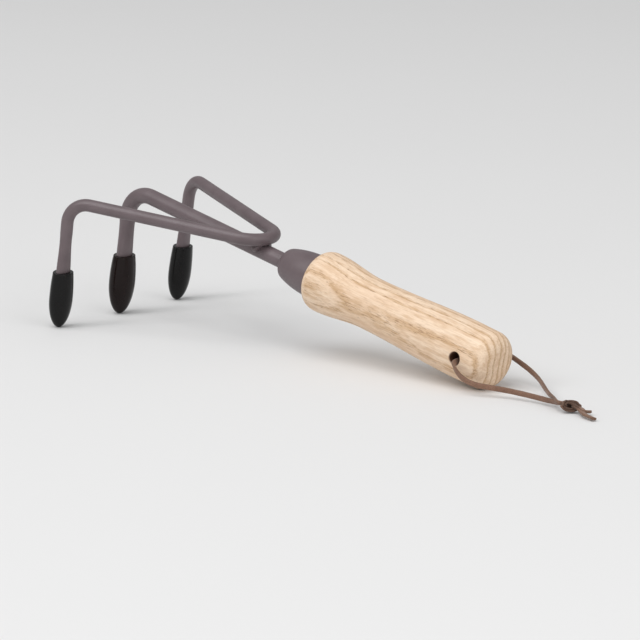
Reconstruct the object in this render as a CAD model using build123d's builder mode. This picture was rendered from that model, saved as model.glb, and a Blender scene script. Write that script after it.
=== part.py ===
"""Three-tine hand rake (hand cultivator), standing on its three tip guards and the butt of its handle.

Millimetres and degrees. +X runs from the tines to the handle's butt, +Y is the tool's right, +Z is up.
The origin is on the floor, under the middle of the tool. The tool is symmetrical about the XZ plane.
The shank's own axis starts at the middle tine's bend and slopes down to the butt. A distance "along the
shank" is measured from that bend, and a "height" is measured square to the shank in the XZ plane.
"""

import os
from math import asin, atan2, cos, degrees, hypot, pi, radians, sin, tan

from build123d import *

# Driving dimensions: rods
shank_diameter = 8.0
side_rod_diameter = 6.3
middle_tip = Vector(-124.95, 0, 0)
middle_bend = Vector(-116.05, 0, 67.0)
middle_bend_radius = 14.0
side_tip = Vector(-125.6, 43.0, 0)
side_bend = Vector(-115.5, 44.2, 66.2)
side_bend_radius = 11.5
apex_along, apex_height = 120.7, 9.3
apex_radius = 13.4
blade_start = 50.0
tang_end = 186.0
tang_point = 9.0
tang_point_radius = 1.2

# Blade sections: distance from the tip on the floor, half thickness, half width
middle_blade = [(50, 4.0, 4.0), (42, 3.4, 4.35), (31, 2.9, 5.1), (20, 2.4, 4.6), (11, 1.6, 3.0), (4, 0.7, 1.2)]
side_blade = [(50, 3.15, 3.15), (42, 2.6, 3.5), (29, 2.1, 4.65), (19, 1.8, 4.3), (10.5, 1.3, 2.8), (4, 0.6, 1.1)]

# Tip guards: length, belly's height, half width at the belly and at the mouth; thickness as a share of width
middle_guard = (31.5, 17.5, 7.7, 6.4)
side_guard = (29.5, 15.4, 6.8, 5.9)
guard_flatness = 0.74
guard_clearance = 0.08
guard_pocket_end = (3.5, 0.7, 1.2)
mouth_round = 0.4

# Weld beads at the apex: bead radius, and its two ends in front of the side rod
bead_radius = 1.8
bead_start = (93.3, 4.3, 2.0)
bead_end = (92.4, 1.9, 4.8)

# Ferrule, a deep-drawn cup
ferrule_nose, ferrule_rim = 109.8, 131.7
nose_flat_radius = 4.8
nose_corner_radius, nose_corner_turn = 3.5, 72.0
flare = (121.4, 10.25)
ferrule_rim_radius = 11.05
ferrule_rim_direction = (1, 0.03)
ferrule_wall = 1.2
ferrule_weld_length = 2.2
metal_fit = 0.05

# Handle, turned from one piece of ash
bulge = (137.6, 15.3)
waist = (167.3, 12.75)
belly = (230.0, 14.6)
butt_edge = (241.0, 14.45)
butt_round = 8.0
spigot_front, spigot_front_radius = 114.5, 6.4
bore_end = (187.0, 1.5)
lace_hole_along = 233.0
lace_hole_diameter = 6.0
lace_hole_round = 0.7

# Lace: a flat thong, 2.6 mm wide, held to a round tube here. It is limp and lies on the floor, and its two
# legs leave the hole on either side of the handle and meet in an overhand knot behind the butt.
lace_diameter = 2.6
bend_share = 0.45
left_leg = [
    (111.3, 0.3, 14.6), (111.3, -11.5, 14.8), (112.6, -17.2, 14.4), (115.6, -17.4, 10.3), (120.2, -17.2, 7.4),
    (126.0, -15.8, 5.7), (132.7, -11.8, 4.8), (139.5, -9.2, 4.2), (146.5, -7.6, 3.6), (153.6, -6.8, 3.1),
    (161.1, -6.9, 2.8), (168.1, -7.9, 2.8), (174.4, -9.0, 2.9),
]
right_leg = [
    (111.3, 13.2, 14.8), (112.8, 18.6, 14.4), (118.6, 20.2, 11.8), (124.1, 19.4, 10.0), (129.4, 18.7, 8.2),
    (135.2, 16.9, 6.3), (141.0, 13.8, 4.8), (148.6, 7.4, 3.9), (157.4, 0.2, 3.3), (165.4, -5.0, 3.1),
    (174.0, -8.6, 3.4),
]
knot_centre = (177.9, -9.7, 3.1)
knot_half_size = (4.8, 3.8, 2.9)
short_tail = [(181.6, -8.6, 3.2), (187.8, -7.9, 1.9)]
long_tail = [(181.4, -11.8, 2.6), (187.6, -13.0, 1.7), (196.0, -16.0, 1.35)]

os.makedirs("parts", exist_ok=True)


def save(piece, name):
    """Names a finished piece and writes its STEP file."""
    piece.part.label = name
    export_step(piece.part, f"parts/{name}.step")


# Stance: the butt's rounded edge rests on the floor, which sets the shank's slope
round_radius = butt_edge[1] - butt_round
reach = hypot(butt_edge[0], round_radius)
slope = degrees(asin((middle_bend.Z - butt_round) / reach)) - degrees(atan2(round_radius, butt_edge[0]))
along_axis = Vector(cos(radians(slope)), 0, -sin(radians(slope)))
height_axis = Vector(sin(radians(slope)), 0, cos(radians(slope)))
shank_axis = Axis(middle_bend, along_axis)
profile_plane = Plane(middle_bend, x_dir=along_axis, z_dir=(0, -1, 0))


def at(along, height=0.0, side=0.0):
    """A point given along the shank, square above it, and to the right."""
    return middle_bend + along_axis * along + height_axis * height + Vector(0, side, 0)


def mirrored(point):
    """The same point on the other side of the tool."""
    return Vector(point.X, -point.Y, point.Z)


def tine_plane(tip, bend):
    """A plane on a tine's tip, its normal up the tine, its x direction across the blade's thickness."""
    up = (bend - tip).normalized()
    return Plane(tip, x_dir=Vector(0, 1, 0).cross(up), z_dir=up)


middle_plane = tine_plane(middle_tip, middle_bend)
right_plane = tine_plane(side_tip, side_bend)
left_plane = tine_plane(mirrored(side_tip), mirrored(side_bend))

# Middle tine: one rod that is tine, shank and tang
tang_shoulder = tang_end - tang_point
with BuildPart() as middle_tine:
    with BuildLine() as rod_line:
        FilletPolyline(at(tang_shoulder), middle_bend, middle_plane.offset(blade_start).origin,
                       radius=middle_bend_radius)
    with BuildSketch(Plane(at(tang_shoulder), x_dir=(0, 1, 0), z_dir=along_axis)):
        Circle(shank_diameter / 2)
    sweep(path=rod_line.line)
    for distance, half_thickness, half_width in middle_blade:
        with BuildSketch(middle_plane.offset(distance)):
            Ellipse(half_thickness, half_width)
    loft()
    with BuildSketch(profile_plane):
        Polygon((tang_shoulder, 0), (tang_shoulder, shank_diameter / 2), (tang_end, tang_point_radius),
                (tang_end, 0),
                align=None)
    revolve(axis=shank_axis)
save(middle_tine, "middle_tine")

# Side tines: both outer tines are one bent rod, whose apex lies on the shank
with BuildPart() as side_tines:
    with BuildLine() as vee_line:
        FilletPolyline(left_plane.offset(blade_start).origin, mirrored(side_bend), at(apex_along, apex_height),
                       side_bend, right_plane.offset(blade_start).origin,
                       radius=[side_bend_radius, apex_radius, side_bend_radius])
    with BuildSketch(left_plane.offset(blade_start)):
        Circle(side_rod_diameter / 2)
    sweep(path=vee_line.line)
    for plane in (left_plane, right_plane):
        for distance, half_thickness, half_width in side_blade:
            with BuildSketch(plane.offset(distance)):
                Ellipse(half_thickness, half_width)
        loft()
save(side_tines, "side_tines")


def weld_bead(side):
    """A short bead in the corner between the side rod's front and the shank, on one side of the shank."""
    start = at(bead_start[0], bead_start[1], side * bead_start[2])
    end = at(bead_end[0], bead_end[1], side * bead_end[2])
    with BuildPart() as bead:
        with BuildSketch(Plane(start, z_dir=end - start)):
            Circle(bead_radius)
        extrude(amount=(end - start).length)
        with Locations(start, end):
            Sphere(bead_radius)
        add(middle_tine.part, mode=Mode.SUBTRACT)
        add(side_tines.part, mode=Mode.SUBTRACT)
    return bead


save(weld_bead(-1), "apex_weld_left")
save(weld_bead(1), "apex_weld_right")

# Ferrule: a cup with its flat nose towards the tines, bored for the shank
with BuildPart() as ferrule:
    with BuildSketch(profile_plane):
        with BuildLine():
            nose_face = Line((ferrule_nose, 0), (ferrule_nose, nose_flat_radius))
            corner = JernArc(nose_face @ 1, (0, 1), nose_corner_radius, -nose_corner_turn)
            Spline(corner @ 1, flare, (ferrule_rim, ferrule_rim_radius),
                   tangents=(corner % 1, ferrule_rim_direction))
            Polyline((ferrule_rim, ferrule_rim_radius), (ferrule_rim, 0), (ferrule_nose, 0))
        make_face()
    revolve(axis=shank_axis)
    rim_face = ferrule.faces().sort_by(shank_axis)[-1]
    offset(amount=-ferrule_wall, openings=rim_face)
    with BuildSketch(Plane(at(ferrule_nose), x_dir=(0, 1, 0), z_dir=along_axis)):
        Circle(shank_diameter / 2 + metal_fit)
    extrude(amount=2 * ferrule_wall, mode=Mode.SUBTRACT)
save(ferrule, "ferrule")

with BuildPart() as ferrule_weld:
    with BuildSketch(profile_plane):
        inner_face = ferrule_nose + ferrule_wall
        shank_side = shank_diameter / 2
        Polygon((inner_face, shank_side), (inner_face, nose_flat_radius),
                (inner_face + ferrule_weld_length, shank_side), align=None)
    revolve(axis=shank_axis)
save(ferrule_weld, "ferrule_weld")

# Handle: the turned outside and spigot, then the tang's bore and the lace's hole
butt_face = butt_edge[0] + butt_round
spigot_rim_radius = ferrule_rim_radius - ferrule_wall - metal_fit
bore_radius = shank_diameter / 2 + metal_fit
with BuildPart() as handle:
    with BuildSketch(profile_plane):
        with BuildLine():
            Polyline((butt_face, 0), (spigot_front, 0), (spigot_front, spigot_front_radius),
                     (ferrule_rim, spigot_rim_radius), (ferrule_rim, ferrule_rim_radius))
            EllipticalCenterArc((bulge[0], ferrule_rim_radius), bulge[0] - ferrule_rim,
                                bulge[1] - ferrule_rim_radius, start_angle=90, arc_size=90)
            Spline(bulge, waist, tangents=((1, 0), (1, 0)))
            Spline(waist, belly, butt_edge, tangents=((1, 0), (1, 0)))
            butt_arc = JernArc(butt_edge, (1, 0), butt_round, -90)
            Line(butt_arc @ 1, (butt_face, 0))
        make_face()
    revolve(axis=shank_axis)
    with BuildSketch(profile_plane):
        Polygon((spigot_front, 0), (spigot_front, bore_radius), (tang_shoulder, bore_radius),
                bore_end, (bore_end[0], 0), align=None)
    revolve(axis=shank_axis, mode=Mode.SUBTRACT)
    with BuildSketch(Plane(at(lace_hole_along), x_dir=along_axis, z_dir=(0, -1, 0))):
        Circle(lace_hole_diameter / 2)
    extrude(amount=bulge[1] + 1, both=True, mode=Mode.SUBTRACT)
    fillet(handle.edges(Select.LAST), radius=lace_hole_round)
save(handle, "handle")


def tip_guard(plane, blade, size):
    """A pull-off guard: a flattened, bullet-shaped sleeve with a pocket of the blade's own shape."""
    length, belly_height, belly_width, mouth_width = size
    with BuildPart() as outside:
        with BuildSketch(Plane.XZ):
            with BuildLine():
                EllipticalCenterArc((0, belly_height), belly_width, belly_height, start_angle=-90, arc_size=90)
                side = TangentArc((belly_width, belly_height), (mouth_width, length), tangent=(0, 1))
                Polyline(side @ 1, (0, length), (0, 0))
            make_face()
        revolve(axis=Axis.Z)
        fillet(outside.edges().sort_by(Axis.Z)[-1], radius=mouth_round)
        scale(by=(guard_flatness, 1, 1))
    with BuildPart() as guard:
        add(outside.part.moved(plane.location))
        for distance, half_thickness, half_width in blade[:-1] + [guard_pocket_end]:
            with BuildSketch(plane.offset(distance)):
                Ellipse(half_thickness + guard_clearance, half_width + guard_clearance)
        loft(mode=Mode.SUBTRACT)
    return guard


save(tip_guard(left_plane, side_blade, side_guard), "tip_guard_left")
save(tip_guard(middle_plane, middle_blade, middle_guard), "tip_guard_middle")
save(tip_guard(right_plane, side_blade, side_guard), "tip_guard_right")


def thong(points, name):
    """A tube along straight runs joined by the largest tangent arcs that the runs leave room for."""
    points = [Vector(*point) for point in points]
    runs = [end - start for start, end in zip(points, points[1:])]
    radii = []
    for before, after in zip(runs, runs[1:]):
        half_turn = radians(before.get_angle(after)) / 2
        radii.append(bend_share * min(before.length, after.length) / tan(half_turn))
    with BuildPart() as tube:
        with BuildLine() as route:
            if radii:
                FilletPolyline(*points, radius=radii)
            else:
                Line(*points)
        with BuildSketch(Plane(points[0], z_dir=runs[0])):
            Circle(lace_diameter / 2)
        sweep(path=route.line)
    length = sum(edge.length for edge in route.edges())
    print(name, "length", round(length, 1), "radii", [round(radius, 1) for radius in radii],
          "volume", round(tube.part.volume, 1), "expected", round(pi * lace_diameter ** 2 / 4 * length, 1))
    return tube


save(thong(left_leg[::-1] + right_leg, "lace"), "lace")
save(thong(short_tail, "lace_tail_short"), "lace_tail_short")
save(thong(long_tail, "lace_tail_long"), "lace_tail_long")

with BuildPart() as lace_knot:
    with Locations(knot_centre):
        Sphere(1)
    scale(by=knot_half_size, about=knot_centre)
save(lace_knot, "lace_knot")
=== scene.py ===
"""Looks of the three-tine hand rake: lace, materials, floor, light and camera. In metres."""

from math import copysign, cos, pi, radians, sin

import bpy
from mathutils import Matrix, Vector, noise


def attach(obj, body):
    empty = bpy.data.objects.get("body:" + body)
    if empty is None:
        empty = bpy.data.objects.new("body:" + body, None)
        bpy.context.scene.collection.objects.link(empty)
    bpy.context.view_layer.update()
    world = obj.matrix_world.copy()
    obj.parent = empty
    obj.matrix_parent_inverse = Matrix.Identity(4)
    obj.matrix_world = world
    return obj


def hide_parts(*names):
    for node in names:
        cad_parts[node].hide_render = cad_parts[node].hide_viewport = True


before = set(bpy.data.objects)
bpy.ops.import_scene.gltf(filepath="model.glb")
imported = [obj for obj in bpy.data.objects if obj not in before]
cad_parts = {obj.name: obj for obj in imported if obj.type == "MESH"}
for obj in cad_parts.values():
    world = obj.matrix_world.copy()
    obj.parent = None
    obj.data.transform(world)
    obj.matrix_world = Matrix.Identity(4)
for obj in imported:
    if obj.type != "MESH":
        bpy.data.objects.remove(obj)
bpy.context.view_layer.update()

# Camera: a long lens, looking at the middle of the tool
CAMERA_TARGET = Vector((0.0134, 0.0, 0.01735))
CAMERA_AZIMUTH = radians(41.87)
CAMERA_ELEVATION = radians(12.84)
CAMERA_DISTANCE = 1.960
CAMERA_LENS = 225.0

# Lace: a flat thong, its section's points numbered round from the middle of one cut edge
LACE_WIDTH = 0.0026
LACE_THICKNESS = 0.0013
SECTION_POINTS = 20
EDGE_FACES = (18, 19, 0, 1, 8, 9, 10, 11)
EDGE_SQUARENESS, FACE_SQUARENESS = 0.38, 0.5
SAMPLES_PER_SPAN = 12
WIDTH_WANDER, THICKNESS_WANDER, SURFACE_WANDER = 0.05, 0.10, 0.03

# The knot, pulled tight: the leather in it is thinner, and painted shade darkens it towards the knot's centre
KNOT_CENTRE = Vector((0.1779, -0.0097, 0.0032))
KNOT_REACH, KNOT_FADE, KNOT_SHADE_CORE = 0.0056, 0.002, 0.0040
KNOT_THINNING = 0.2

# The handle's lace hole: its line runs along Y, and its mouths are this far to the left and the right
HOLE_X, HOLE_Z = 0.1113, 0.0160
HOLE_RADIUS, HOLE_ROUND = 0.0030, 0.0006


def aim(thing, target):
    """Turns a camera or a lamp so that it looks at a point."""
    thing.rotation_euler = (target - thing.location).to_track_quat("-Z", "Y").to_euler()


def add_camera():
    """The only camera, at the height and angle of a hand-held look down at the tool."""
    camera = bpy.data.objects.new("camera", bpy.data.cameras.new("camera"))
    camera.data.lens = CAMERA_LENS
    camera.data.clip_end = 20.0
    back = Vector((sin(CAMERA_AZIMUTH) * cos(CAMERA_ELEVATION),
                   -cos(CAMERA_AZIMUTH) * cos(CAMERA_ELEVATION),
                   sin(CAMERA_ELEVATION)))
    camera.location = CAMERA_TARGET + back * CAMERA_DISTANCE
    aim(camera, CAMERA_TARGET)
    bpy.context.scene.collection.objects.link(camera)
    bpy.context.scene.camera = camera


add_camera()

# Each strand's route: x, y, z in metres, and the strip's tilt in degrees, 0 on edge and 90 lying flat.
# It starts in the middle of the handle's hole, runs along the lace's own leg, through the doubled overhand
# knot and out to its cut end.
LEFT_STRAND = [
    (0.1113, 0.0003, 0.0146, 20), (0.1113, -0.0115, 0.0148, 25), (0.1126, -0.0172, 0.0144, 35),
    (0.1156, -0.0174, 0.0103, 20), (0.1202, -0.0172, 0.0074, 8), (0.1260, -0.0158, 0.0057, 0),
    (0.1327, -0.0118, 0.0048, 0), (0.1395, -0.0092, 0.0042, 5), (0.1465, -0.0076, 0.0036, 5),
    (0.1536, -0.0068, 0.0031, 8), (0.1611, -0.0069, 0.0028, 12), (0.1676, -0.0079, 0.0030, 35),
    (0.1719, -0.0111, 0.0037, 60), (0.1748, -0.0106, 0.0039, 80), (0.1766, -0.0099, 0.0044, 79),
    (0.1786, -0.0088, 0.0046, 75), (0.1798, -0.0080, 0.0038, 67), (0.1800, -0.0082, 0.0027, 111),
    (0.1790, -0.0093, 0.0020, 104), (0.1776, -0.0110, 0.0020, 101), (0.1767, -0.0123, 0.0028, 90),
    (0.1765, -0.0125, 0.0040, 30), (0.1764, -0.0112, 0.0047, 67), (0.1756, -0.0091, 0.0039, 33),
    (0.1756, -0.0084, 0.0029, -9), (0.1771, -0.0077, 0.0022, -21), (0.1784, -0.0083, 0.0026, 19),
    (0.1794, -0.0095, 0.0031, 63), (0.1811, -0.0098, 0.0028, 62), (0.1835, -0.0095, 0.0019, 80),
    (0.1884, -0.0136, 0.0019, 80), (0.1917, -0.0143, 0.0014, 75), (0.1963, -0.0159, 0.0014, 80),
]
RIGHT_STRAND = [
    (0.1113, 0.0003, 0.0146, 20), (0.1113, 0.0132, 0.0148, 25), (0.1128, 0.0186, 0.0144, 35),
    (0.1186, 0.0202, 0.0118, 15), (0.1241, 0.0194, 0.0100, 5), (0.1294, 0.0187, 0.0082, 5),
    (0.1352, 0.0169, 0.0063, 5), (0.1410, 0.0138, 0.0048, 5), (0.1486, 0.0074, 0.0039, 5),
    (0.1574, 0.0002, 0.0033, 15), (0.1652, -0.0052, 0.0035, 35), (0.1709, -0.0109, 0.0043, 55),
    (0.1741, -0.0111, 0.0045, 82), (0.1758, -0.0101, 0.0053, 79), (0.1785, -0.0084, 0.0055, 75),
    (0.1805, -0.0072, 0.0044, 64), (0.1809, -0.0076, 0.0022, 115), (0.1796, -0.0092, 0.0010, 104),
    (0.1773, -0.0114, 0.0011, 102), (0.1759, -0.0130, 0.0022, 94), (0.1757, -0.0132, 0.0042, 28),
    (0.1756, -0.0118, 0.0056, 58), (0.1746, -0.0093, 0.0045, 96), (0.1761, -0.0089, 0.0042, 68),
    (0.1784, -0.0091, 0.0040, 67), (0.1807, -0.0090, 0.0035, 67), (0.1829, -0.0082, 0.0025, 75),
    (0.1863, -0.0108, 0.0022, 75), (0.1874, -0.0074, 0.0016, 70),
]


def follow(name, route):
    """The points along the route's NURBS spline, and the tilt of the strip at each."""
    curve = bpy.data.curves.new(name, "CURVE")
    curve.dimensions = "3D"
    curve.resolution_u = SAMPLES_PER_SPAN
    spline = curve.splines.new("NURBS")
    spline.points.add(len(route) - 1)
    for point, (x, y, z, tilt) in zip(spline.points, route):
        point.co = (x, y, z, 1.0)
    spline.order_u = 3
    spline.use_endpoint_u = True
    holder = bpy.data.objects.new(name, curve)
    bpy.context.scene.collection.objects.link(holder)
    line = bpy.data.meshes.new_from_object(holder.evaluated_get(bpy.context.evaluated_depsgraph_get()))
    points = [vertex.co.copy() for vertex in line.vertices]
    bpy.data.objects.remove(holder)
    tilts = []
    spans = len(route) - 2
    for index in range(len(points)):
        place = index * spans / (len(points) - 1) + 0.5
        before = min(max(int(place), 0), len(route) - 2)
        share = min(max(place - before, 0.0), 1.0)
        tilts.append(radians(route[before][3] * (1 - share) + route[before + 1][3] * share))
    return points, tilts


def strip_section(width, thickness):
    """A rounded rectangle, as (across the width, across the thickness) pairs."""
    corners = []
    for index in range(SECTION_POINTS):
        angle = 2 * pi * index / SECTION_POINTS
        across, through = cos(angle), sin(angle)
        corners.append((copysign(width / 2 * abs(across) ** EDGE_SQUARENESS, across),
                        copysign(thickness / 2 * abs(through) ** FACE_SQUARENESS, through)))
    return corners


def add_strand(name, route, seed, face_leather, edge_leather):
    """One strand of the lace: a solid strip along its route, with hand-cut edges that wander a little."""
    points, tilts = follow(name, route)
    vertices = []
    for index, (point, tilt) in enumerate(zip(points, tilts)):
        ahead = points[min(index + 1, len(points) - 1)] - points[max(index - 1, 0)]
        ahead.normalize()
        upright = (Vector((0, 0, 1)) - ahead * ahead.z).normalized()
        sideways = ahead.cross(upright)
        wide = upright * cos(tilt) + sideways * sin(tilt)
        thin = ahead.cross(wide)
        place = Vector((index * 0.11, seed, 0.0))
        width = LACE_WIDTH * (1 + WIDTH_WANDER * noise.noise(place))
        knot_nearness = min(max((KNOT_REACH - (point - KNOT_CENTRE).length) / KNOT_FADE, 0.0), 1.0)
        thickness = LACE_THICKNESS * (1 - KNOT_THINNING * knot_nearness)
        thickness *= 1 + THICKNESS_WANDER * noise.noise(place + Vector((0, 7, 0)))
        for across, through in strip_section(width, thickness):
            rough = 1 + SURFACE_WANDER * noise.noise(point * 900 + Vector((across, through, 0)) * 2500)
            vertices.append(point + wide * across * rough + thin * through * rough)
    faces = []
    for ring in range(len(points) - 1):
        for index in range(SECTION_POINTS):
            after = (index + 1) % SECTION_POINTS
            start, end = ring * SECTION_POINTS, (ring + 1) * SECTION_POINTS
            faces.append((start + index, start + after, end + after, end + index))
    last = (len(points) - 1) * SECTION_POINTS
    faces.append(tuple(range(SECTION_POINTS))[::-1])
    faces.append(tuple(last + index for index in range(SECTION_POINTS)))
    mesh = bpy.data.meshes.new(name)
    mesh.materials.append(face_leather)
    mesh.materials.append(edge_leather)
    mesh.from_pydata(vertices, [], faces)
    mesh.update()
    for polygon in mesh.polygons:
        polygon.use_smooth = len(polygon.vertices) == 4
        polygon.material_index = 1 if polygon.index % SECTION_POINTS in EDGE_FACES else 0
    strand = bpy.data.objects.new(name, mesh)
    bpy.context.scene.collection.objects.link(strand)
    return strand, points


def add_lace(face_leather, edge_leather):
    """Both strands of the lace, each from the middle of the handle's hole to its cut end."""
    for name, route, length, seed in (("lace_left_strand", LEFT_STRAND, 0.126, 1.3),
                                      ("lace_right_strand", RIGHT_STRAND, 0.129, 5.7)):
        strand, points = add_strand(name, route, seed, face_leather, edge_leather)
        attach(strand, "tool")
        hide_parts("lace", "lace_knot", "lace_tail_short", "lace_tail_long")


class Shader:
    """A material under construction: makes nodes and joins them up."""

    def __init__(self, name):
        self.material = bpy.data.materials.new(name)
        self.material.use_nodes = True
        self.nodes = self.material.node_tree.nodes
        self.links = self.material.node_tree.links
        self.surface = self.nodes["Principled BSDF"]

    def put(self, socket, value):
        """Sets a socket to a number or colour, or joins another node's output to it."""
        if isinstance(value, bpy.types.NodeSocket):
            self.links.new(value, socket)
        else:
            socket.default_value = value

    def node(self, kind, output=0, **inputs):
        """The output of a new node; inputs are named by socket, with underscores for spaces."""
        made = self.nodes.new("ShaderNode" + kind)
        for name, value in inputs.items():
            self.put(made.inputs[name.replace("_", " ")], value)
        return made.outputs[output]

    def math(self, operation, *values):
        made = self.nodes.new("ShaderNodeMath")
        made.operation = operation
        for index, value in enumerate(values):
            self.put(made.inputs[index], value)
        return made.outputs[0]

    def mix(self, factor, first, second):
        """A mix of two colours."""
        made = self.nodes.new("ShaderNodeMix")
        made.data_type = "RGBA"
        self.put(made.inputs[0], factor)
        self.put(made.inputs[6], first)
        self.put(made.inputs[7], second)
        return made.outputs[2]

    def ramp(self, factor, *stops):
        """A colour ramp through (position, colour) stops; a plain number stands for a grey."""
        made = self.nodes.new("ShaderNodeValToRGB")
        elements = made.color_ramp.elements
        for _ in stops[2:]:
            elements.new(0.5)
        for element, (position, colour) in zip(elements, stops):
            element.position = position
            element.color = (colour,) * 3 + (1,) if isinstance(colour, (int, float)) else colour
        self.put(made.inputs[0], factor)
        return made.outputs[0]

    def bump(self, height, distance, strength=1.0, normal=None):
        made = self.nodes.new("ShaderNodeBump")
        made.inputs["Strength"].default_value = strength
        made.inputs["Distance"].default_value = distance
        self.links.new(height, made.inputs["Height"])
        if normal is not None:
            self.links.new(normal, made.inputs["Normal"])
        return made.outputs[0]

    def noise(self, vector, scale, detail=2.0, roughness=0.5, distortion=0.0):
        return self.node("TexNoise", Vector=vector, Scale=scale, Detail=detail, Roughness=roughness,
                         Distortion=distortion)

    def place(self):
        """The point's own place in the part's frame, in metres."""
        return self.node("TexCoord", output=3)

    def axis(self, vector, index):
        """One coordinate of a vector: 0 for X, 1 for Y, 2 for Z."""
        return self.node("SeparateXYZ", output=index, Vector=vector)

    def fade(self, value, start, end, top=1.0):
        """0 where the value is at start or before it, rising evenly to top at end."""
        return self.node("MapRange", Value=value, From_Min=start, From_Max=end, To_Max=top)

    def distance(self, vector, point):
        """How far the vector is from a fixed point."""
        made = self.nodes.new("ShaderNodeVectorMath")
        made.operation = "DISTANCE"
        self.links.new(vector, made.inputs[0])
        made.inputs[1].default_value = point
        return made.outputs["Value"]

    def finish(self, **sockets):
        """Joins or sets the surface's own sockets, and returns the material."""
        for name, value in sockets.items():
            self.put(self.surface.inputs[name.replace("_", " ")], value)
        return self.material


def rgb(red, green, blue):
    """A linear colour from 8-bit display values."""
    def linear(value):
        share = value / 255
        return share / 12.92 if share <= 0.04045 else ((share + 0.055) / 1.055) ** 2.4
    return (linear(red), linear(green), linear(blue), 1.0)


def powder_coat():
    """Satin taupe powder coat: a fine orange peel, a little uneven in colour."""
    shader = Shader("powder_coat")
    place = shader.place()
    cloud = shader.noise(place, 90.0, detail=3.0)
    grain = shader.noise(place, 2600.0, detail=2.0)
    peel = shader.noise(place, 900.0, detail=3.0, roughness=0.6)
    colour = shader.mix(shader.ramp(cloud, (0.3, 0.0), (0.7, 1.0)), rgb(94, 81, 84), rgb(106, 93, 96))
    colour = shader.mix(shader.ramp(grain, (0.62, 0.0), (0.74, 0.5)), colour, rgb(72, 64, 66))
    rough = shader.ramp(peel, (0.2, 0.36), (0.8, 0.50))
    normal = shader.bump(peel, 0.00006, 0.5)
    return shader.finish(Base_Color=colour, Roughness=rough, Normal=normal, Specular_IOR_Level=0.6)


def dipped_vinyl(name, dark, light):
    """Glossy black vinyl, smooth with soft flow marks and a few specks of dust."""
    shader = Shader(name)
    place = shader.place()
    flow = shader.noise(place, 160.0, detail=2.0)
    dust = shader.noise(place, 3200.0, detail=1.0)
    colour = shader.mix(flow, dark, light)
    colour = shader.mix(shader.ramp(dust, (0.72, 0.0), (0.8, 0.25)), colour, rgb(84, 82, 79))
    rough = shader.ramp(flow, (0.3, 0.10), (0.7, 0.20))
    normal = shader.bump(flow, 0.0004, 0.35)
    return shader.finish(Base_Color=colour, Roughness=rough, Normal=normal, Specular_IOR_Level=0.2)


# Growth rings, cut by planes square to Y: where each begins, from 0 at the tool's left side to 1 at its right
RINGS = (0.085, 0.25, 0.365, 0.49, 0.59, 0.69, 0.765, 0.83, 0.90, 0.96)
RING_SPAN = 0.032
RING_RISE, RING_FALL = 0.014, 0.046
RING_WANDER, RING_RIPPLE = 0.0034, 0.0018
HANDLE_SLOPE = radians(12.633)
END_GRAIN = (0.1175, 0.1235)


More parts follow.
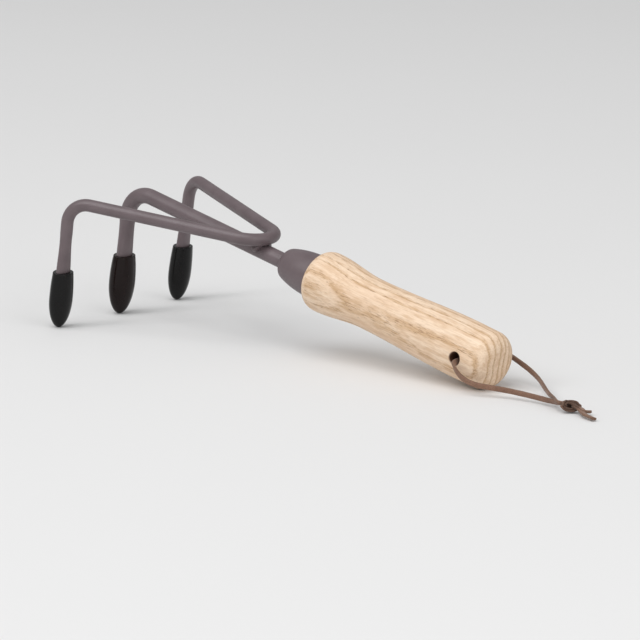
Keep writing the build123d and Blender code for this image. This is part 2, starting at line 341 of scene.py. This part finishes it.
def ash_wood():
    """Pale sanded ash: tan porous bands at each ring, long fibres, fine pores, and painted shade in the
    drilled hole.
    """
    shader = Shader("ash_wood")
    place = shader.place()
    along = shader.node("Mapping", Vector=place, Rotation=(0.0, -HANDLE_SLOPE, 0.0))
    stretched = shader.node("Mapping", Vector=along, Scale=(0.12, 1.0, 1.0))
    fibres = shader.node("Mapping", Vector=along, Scale=(0.035, 1.0, 1.0))
    flecks = shader.node("Mapping", Vector=along, Scale=(0.2, 1.0, 1.0))
    pores = shader.node("Mapping", Vector=along, Scale=(0.09, 1.0, 1.0))

    # Rings: how near a point is to the start of a growth ring, strongest at the start and fading after it
    wander = shader.noise(stretched, 55.0, detail=2.0)
    ripple = shader.noise(stretched, 260.0, detail=3.0, roughness=0.6)
    across = shader.axis(along, 1)
    for waver, reach in ((wander, RING_WANDER), (ripple, RING_RIPPLE)):
        shift = shader.math("MULTIPLY", shader.math("SUBTRACT", waver, 0.5), reach)
        across = shader.math("ADD", across, shift)
    across = shader.math("ADD", shader.math("DIVIDE", across, RING_SPAN), 0.5)
    stops = [(0.02, 0.8), (0.045, 0.1)]
    for start in RINGS:
        stops += [(start - RING_RISE, 0.0), (start, 1.0), (start + RING_FALL, 0.05)]
    rings = shader.ramp(across, *stops)

    # Colour: pale late wood, tan bands at the rings, broken up along the grain, and fine dark pores
    streaks = shader.noise(fibres, 1500.0, detail=4.0, roughness=0.65)
    vessel = shader.noise(pores, 2600.0, detail=2.0, roughness=0.5)
    blotch = shader.noise(stretched, 150.0, detail=3.0)
    pale = shader.mix(shader.ramp(blotch, (0.35, 0.0), (0.65, 1.0)), rgb(240, 218, 194), rgb(233, 206, 179))
    tan = shader.mix(shader.ramp(streaks, (0.35, 0.0), (0.65, 1.0)), rgb(213, 182, 146), rgb(188, 150, 112))
    figure = shader.noise(flecks, 480.0, detail=4.0, roughness=0.6)
    pale = shader.mix(shader.ramp(figure, (0.46, 0.0), (0.62, 0.75)), pale, rgb(217, 185, 153))
    amount = shader.math("MULTIPLY", rings, shader.ramp(streaks, (0.3, 0.5), (0.55, 1.0)))
    amount = shader.math("MULTIPLY", amount, shader.ramp(figure, (0.36, 0.35), (0.52, 1.0)))
    end_grain = shader.fade(shader.axis(place, 0), *END_GRAIN)
    amount = shader.math("MAXIMUM", amount, shader.math("MULTIPLY", rings, end_grain))
    colour = shader.mix(amount, pale, tan)
    colour = shader.mix(shader.ramp(streaks, (0.45, 0.0), (0.70, 0.55)), colour, rgb(210, 177, 142))
    dark = shader.math("MULTIPLY", shader.ramp(vessel, (0.56, 0.0), (0.66, 1.0)),
                       shader.math("ADD", shader.math("MULTIPLY", rings, 0.6), 0.14))
    colour = shader.mix(dark, colour, rgb(138, 98, 66))

    # Painted shade: the drilled hole's wall is darker, for the shade inside the hole
    flat = shader.node("Mapping", Vector=place, Scale=(1.0, 0.0, 1.0))
    radius = shader.distance(flat, Vector((HOLE_X, 0.0, HOLE_Z)))
    hole_shade = shader.fade(radius, HOLE_RADIUS + HOLE_ROUND, HOLE_RADIUS)
    colour = shader.mix(hole_shade, colour, rgb(84, 54, 38))

    rough = shader.ramp(streaks, (0.3, 0.50), (0.7, 0.64))
    relief = shader.math("SUBTRACT", streaks, shader.math("MULTIPLY", dark, 2.0))
    normal = shader.bump(relief, 0.00008, 0.6)
    return shader.finish(Base_Color=colour, Roughness=rough, Normal=normal, Specular_IOR_Level=0.3)


def thong_leather(name, light, dark):
    """Brown leather: a fine pebble, darker creases and dry fibres, and painted shade towards the knot's
    centre.
    """
    shader = Shader(name)
    place = shader.place()
    cloud = shader.noise(place, 140.0, detail=3.0)
    pebble = shader.node("TexVoronoi", Vector=place, Scale=2400.0)
    fuzz = shader.noise(place, 4200.0, detail=3.0, roughness=0.7)
    colour = shader.mix(shader.ramp(cloud, (0.3, 0.0), (0.7, 1.0)), light, dark)
    colour = shader.mix(shader.ramp(pebble, (0.25, 0.0), (0.7, 0.45)), colour, rgb(86, 62, 47))
    colour = shader.mix(shader.ramp(fuzz, (0.55, 0.0), (0.75, 0.4)), colour, rgb(158, 126, 104))
    # Painted shade: the leather darkens towards the knot's centre, for the shade between its tight turns
    knot_nearness = shader.fade(shader.distance(place, KNOT_CENTRE), KNOT_REACH, KNOT_SHADE_CORE, top=0.62)
    colour = shader.mix(knot_nearness, colour, rgb(66, 44, 33))
    rough = shader.ramp(fuzz, (0.3, 0.55), (0.7, 0.75))
    height = shader.math("ADD", pebble, shader.math("MULTIPLY", fuzz, 0.6))
    normal = shader.bump(height, 0.00012, 0.6)
    return shader.finish(Base_Color=colour, Roughness=rough, Normal=normal, Specular_IOR_Level=0.4,
                         Sheen_Weight=0.15, Sheen_Roughness=0.5)


def dress(thing, material):
    """Gives a thing one material, in every slot that it has."""
    slots = thing.data.materials
    if not slots:
        slots.append(material)
    for index in range(len(slots)):
        slots[index] = material


coat = powder_coat()
for name in ("middle_tine", "side_tines", "apex_weld_left", "apex_weld_right", "ferrule", "ferrule_weld"):
    dress(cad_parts[name], coat)
side_vinyl = dipped_vinyl("black_vinyl", rgb(13, 13, 13), rgb(22, 21, 21))
middle_vinyl = dipped_vinyl("brown_black_vinyl", rgb(20, 11, 10), rgb(29, 18, 17))
dress(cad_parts["tip_guard_left"], side_vinyl)
dress(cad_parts["tip_guard_right"], side_vinyl)
dress(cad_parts["tip_guard_middle"], middle_vinyl)
dress(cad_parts["handle"], ash_wood())
face_leather = thong_leather("thong_face", rgb(146, 110, 90), rgb(126, 92, 73))
edge_leather = thong_leather("thong_edge", rgb(130, 99, 80), rgb(109, 82, 64))
add_lace(face_leather, edge_leather)


def add_floor():
    """A pale matte tabletop without an edge in view."""
    bpy.ops.mesh.primitive_plane_add(size=14.0, location=(0, 0, 0))
    floor = bpy.context.object
    floor.name = "floor"
    shader = Shader("floor")
    mottle = shader.noise(shader.place(), 3.0, detail=2.0)
    colour = shader.mix(mottle, rgb(226, 226, 226), rgb(228, 228, 228))
    dress(floor, shader.finish(Base_Color=colour, Roughness=0.7, Specular_IOR_Level=0.2))


def add_lamp(name, place, size, power, target=CAMERA_TARGET):
    lamp = bpy.data.objects.new(name, bpy.data.lights.new(name, "AREA"))
    lamp.data.shape = "DISK"
    lamp.data.size = size
    lamp.data.energy = power
    lamp.location = place
    aim(lamp, target)
    bpy.context.scene.collection.objects.link(lamp)


def add_studio():
    """A big softbox overhead, a smaller lamp on the left, a weak one on the right, and dim surroundings."""
    world = bpy.data.worlds.new("studio")
    world.use_nodes = True
    background = world.node_tree.nodes["Background"]
    background.inputs["Color"].default_value = (1.0, 1.0, 1.0, 1.0)
    background.inputs["Strength"].default_value = 0.45
    bpy.context.scene.world = world
    add_lamp("softbox", (0.02, -1.55, 3.28), 3.4, 70.0)
    add_lamp("key", (-1.19, -2.55, 2.22), 1.2, 21.0)
    add_lamp("fill", (2.22, -0.30, 1.22), 2.4, 18.0)


add_floor()
add_studio()
bpy.context.scene.view_settings.view_transform = "Standard"
